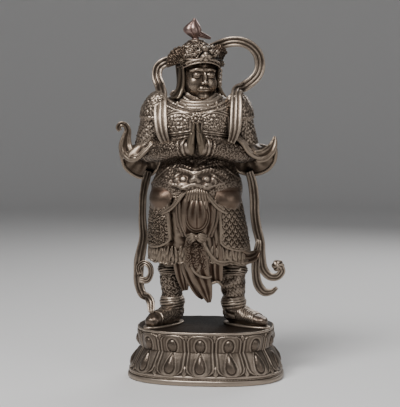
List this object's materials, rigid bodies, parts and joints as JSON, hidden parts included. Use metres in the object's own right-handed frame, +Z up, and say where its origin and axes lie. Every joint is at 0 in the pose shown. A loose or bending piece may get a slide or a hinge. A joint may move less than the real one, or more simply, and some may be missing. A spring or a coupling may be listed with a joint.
{
  "type": "bronze deity figure",
  "caption": "Cast bronze armoured guardian deity with joined hands, looped scarf and flame plume, standing on an oval lotus base.",
  "frame": {"origin": "middle of the lotus base's flat underside", "axes": "+Z up through the figure to the plume, -Y towards the figure's front, +X towards its left hand"},
  "size_m": [0.2272, 0.159, 0.4831],
  "materials": {
    "base_bronze": "dark brown patinated bronze, worn lighter on the raised edges",
    "figure_bronze": "dark brown patinated bronze, worn lighter on the raised edges, near black in the hollows",
    "plume_bronze": "reddish brown patinated bronze"
  },
  "bodies": {
    "root": {"lotus_base": "base_bronze", "deity_figure": "figure_bronze", "helmet_plume": "plume_bronze"}
  },
  "joints": []
}
